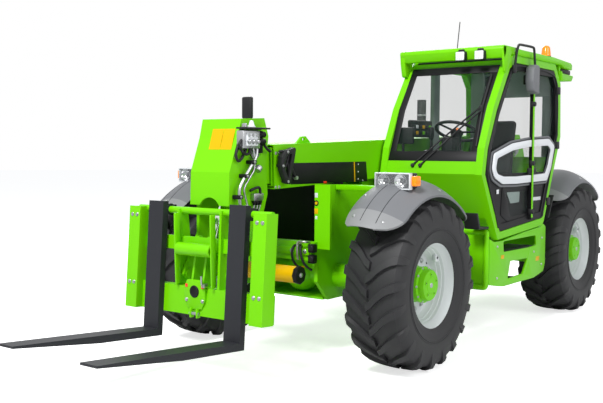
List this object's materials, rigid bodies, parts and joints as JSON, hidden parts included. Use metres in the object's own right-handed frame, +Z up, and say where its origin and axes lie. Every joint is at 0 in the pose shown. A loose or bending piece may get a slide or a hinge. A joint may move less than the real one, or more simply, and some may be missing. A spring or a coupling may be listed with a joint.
{
  "type": "telescopic handler",
  "caption": "Four-wheel-steer telescopic handler with a side cab, a telescoping lift boom and a fork carriage.",
  "frame": {"origin": "on the floor, under the middle of the machine with its forks on", "axes": "+X forward along the forks, +Y to the machine's left (cab side), +Z up"},
  "size_m": [6.3567, 2.435, 2.7006],
  "materials": {
    "green": "gloss lime-green paint",
    "charcoal": "satin charcoal paint",
    "grey_plastic": "grained mid-grey plastic",
    "dark_plastic": "grained near-black plastic",
    "tyre": "black agricultural tyre",
    "silver": "silver paint",
    "steel": "bare steel",
    "chrome": "hard-chromed rod",
    "yellow": "yellow paint",
    "glass": "lightly tinted glass",
    "amber": "amber lens",
    "red": "red lens",
    "lamp": "clear lamp lens",
    "iron": "dark cast iron"
  },
  "bodies": {
    "chassis": {"antenna": "dark_plastic", "beacon": "amber", "cab_frame": "green", "cab_glass": "glass", "cab_mounts": "green", "cab_roof": "green", "cab_steps": "green", "chassis_frame": "green", "console": "dark_plastic", "counterweight": "iron", "engine_block": "iron", "engine_pod": "green", "exhaust_stack": "steel", "fenders": "grey_plastic", "front_axle": "green", "fuel_tank": "dark_plastic", "headlamps": "lamp", "lift_pin": "steel", "rear_axle": "green", "rear_lamps": "red", "right_mirror": "dark_plastic", "safety_bar": "yellow", "seat": "dark_plastic", "steering_column": "dark_plastic", "tow_hitch": "iron", "wipers": "dark_plastic", "work_lamps": "lamp"},
    "front_left_steer": {"front_left_knuckle": "green"},
    "front_left_wheel": {"front_left_tyre": "tyre", "front_left_rim": "silver", "front_left_hub": "green"},
    "front_right_steer": {"front_right_knuckle": "green"},
    "front_right_wheel": {"front_right_tyre": "tyre", "front_right_rim": "silver", "front_right_hub": "green"},
    "rear_left_steer": {"rear_left_knuckle": "green"},
    "rear_left_wheel": {"rear_left_tyre": "tyre", "rear_left_rim": "silver", "rear_left_hub": "green"},
    "rear_right_steer": {"rear_right_knuckle": "green"},
    "rear_right_wheel": {"rear_right_tyre": "tyre", "rear_right_rim": "silver", "rear_right_hub": "green"},
    "boom": {"boom_outer": "green"},
    "middle_section": {"boom_middle": "green"},
    "inner_section": {"boom_inner": "green"},
    "carriage": {"carriage_frame": "green", "forks": "charcoal"},
    "lift_cylinder": {"lift_barrel": "green"},
    "lift_piston": {"lift_rod": "chrome"},
    "tilt_cylinder": {"tilt_barrel": "green"},
    "tilt_piston": {"tilt_rod": "chrome"},
    "door": {"cab_door": "dark_plastic", "door_glass": "glass", "left_mirror": "dark_plastic"},
    "hood": {"engine_hood": "green"}
  },
  "joints": [
    {"name": "front_left_steering", "type": "hinge", "parent": "chassis", "child": "front_left_steer", "pos_m": [0.71, 0.72, 0.62], "axis": [0, 0, 1], "range_deg": [-30, 30]},
    {"name": "front_left_roll", "type": "hinge", "parent": "front_left_steer", "child": "front_left_wheel", "pos_m": [0.71, 0.97, 0.62], "axis": [0, 1, 0], "continuous": true},
    {"name": "front_right_steering", "type": "hinge", "parent": "chassis", "child": "front_right_steer", "pos_m": [0.71, -0.72, 0.62], "axis": [0, 0, 1], "range_deg": [-30, 30]},
    {"name": "front_right_roll", "type": "hinge", "parent": "front_right_steer", "child": "front_right_wheel", "pos_m": [0.71, -0.97, 0.62], "axis": [0, 1, 0], "continuous": true},
    {"name": "rear_left_steering", "type": "hinge", "parent": "chassis", "child": "rear_left_steer", "pos_m": [-2.29, 0.72, 0.62], "axis": [0, 0, 1], "range_deg": [-30, 30]},
    {"name": "rear_left_roll", "type": "hinge", "parent": "rear_left_steer", "child": "rear_left_wheel", "pos_m": [-2.29, 0.97, 0.62], "axis": [0, 1, 0], "continuous": true},
    {"name": "rear_right_steering", "type": "hinge", "parent": "chassis", "child": "rear_right_steer", "pos_m": [-2.29, -0.72, 0.62], "axis": [0, 0, 1], "range_deg": [-30, 30]},
    {"name": "rear_right_roll", "type": "hinge", "parent": "rear_right_steer", "child": "rear_right_wheel", "pos_m": [-2.29, -0.97, 0.62], "axis": [0, 1, 0], "continuous": true},
    {"name": "boom_lift", "type": "hinge", "parent": "chassis", "child": "boom", "pos_m": [-2.6, 0, 1.6], "axis": [0, -1, 0], "range_deg": [-4, 66]},
    {"name": "middle_slide", "type": "slide", "parent": "boom", "child": "middle_section", "axis": [0.9994, 0, -0.0349], "range_m": [0, 2]},
    {"name": "inner_slide", "type": "slide", "parent": "middle_section", "child": "inner_section", "axis": [0.9994, 0, -0.0349], "range_m": [0, 2]},
    {"name": "carriage_tilt", "type": "hinge", "parent": "inner_section", "child": "carriage", "pos_m": [1.85, 0, 0.72], "axis": [0, -1, 0], "range_deg": [-105, 12]},
    {"name": "lift_cylinder_swing", "type": "hinge", "parent": "chassis", "child": "lift_cylinder", "pos_m": [-1.82, 0, 0.69], "axis": [0, -1, 0], "range_deg": [-5, 66]},
    {"name": "lift_piston_slide", "type": "slide", "parent": "lift_cylinder", "child": "lift_piston", "axis": [0.966, 0, 0.2584], "range_m": [-0.085, 1.33]},
    {"name": "tilt_cylinder_swing", "type": "hinge", "parent": "inner_section", "child": "tilt_cylinder", "pos_m": [1.52, 0, 1.64], "axis": [0, -1, 0], "range_deg": [-3, 13]},
    {"name": "tilt_piston_slide", "type": "slide", "parent": "tilt_cylinder", "child": "tilt_piston", "axis": [0.3457, 0, -0.9383], "range_m": [-0.03, 0.21]},
    {"name": "door_hinge", "type": "hinge", "parent": "chassis", "child": "door", "pos_m": [-1.71, 1.17, 1.9], "axis": [0, 0, 1], "range_deg": [0, 90]},
    {"name": "hood_hinge", "type": "hinge", "parent": "chassis", "child": "hood", "pos_m": [-0.765, -0.366, 1.64], "axis": [-1, 0, 0], "range_deg": [0, 60]}
  ],
  "couplings": [
    {"joint": "front_right_steering", "follows": "front_left_steering", "ratio": 1},
    {"joint": "rear_right_steering", "follows": "rear_left_steering", "ratio": 1},
    {"joint": "inner_slide", "follows": "middle_slide", "ratio": 1},
    {"joint": "lift_cylinder_swing", "follows": "boom_lift", "ratio": 0.975},
    {"joint": "lift_piston_slide", "follows": "boom_lift", "m_per_rad": 1.14},
    {"joint": "tilt_cylinder_swing", "follows": "carriage_tilt", "ratio": -0.10287},
    {"joint": "tilt_piston_slide", "follows": "carriage_tilt", "m_per_rad": -0.11}
  ]
}
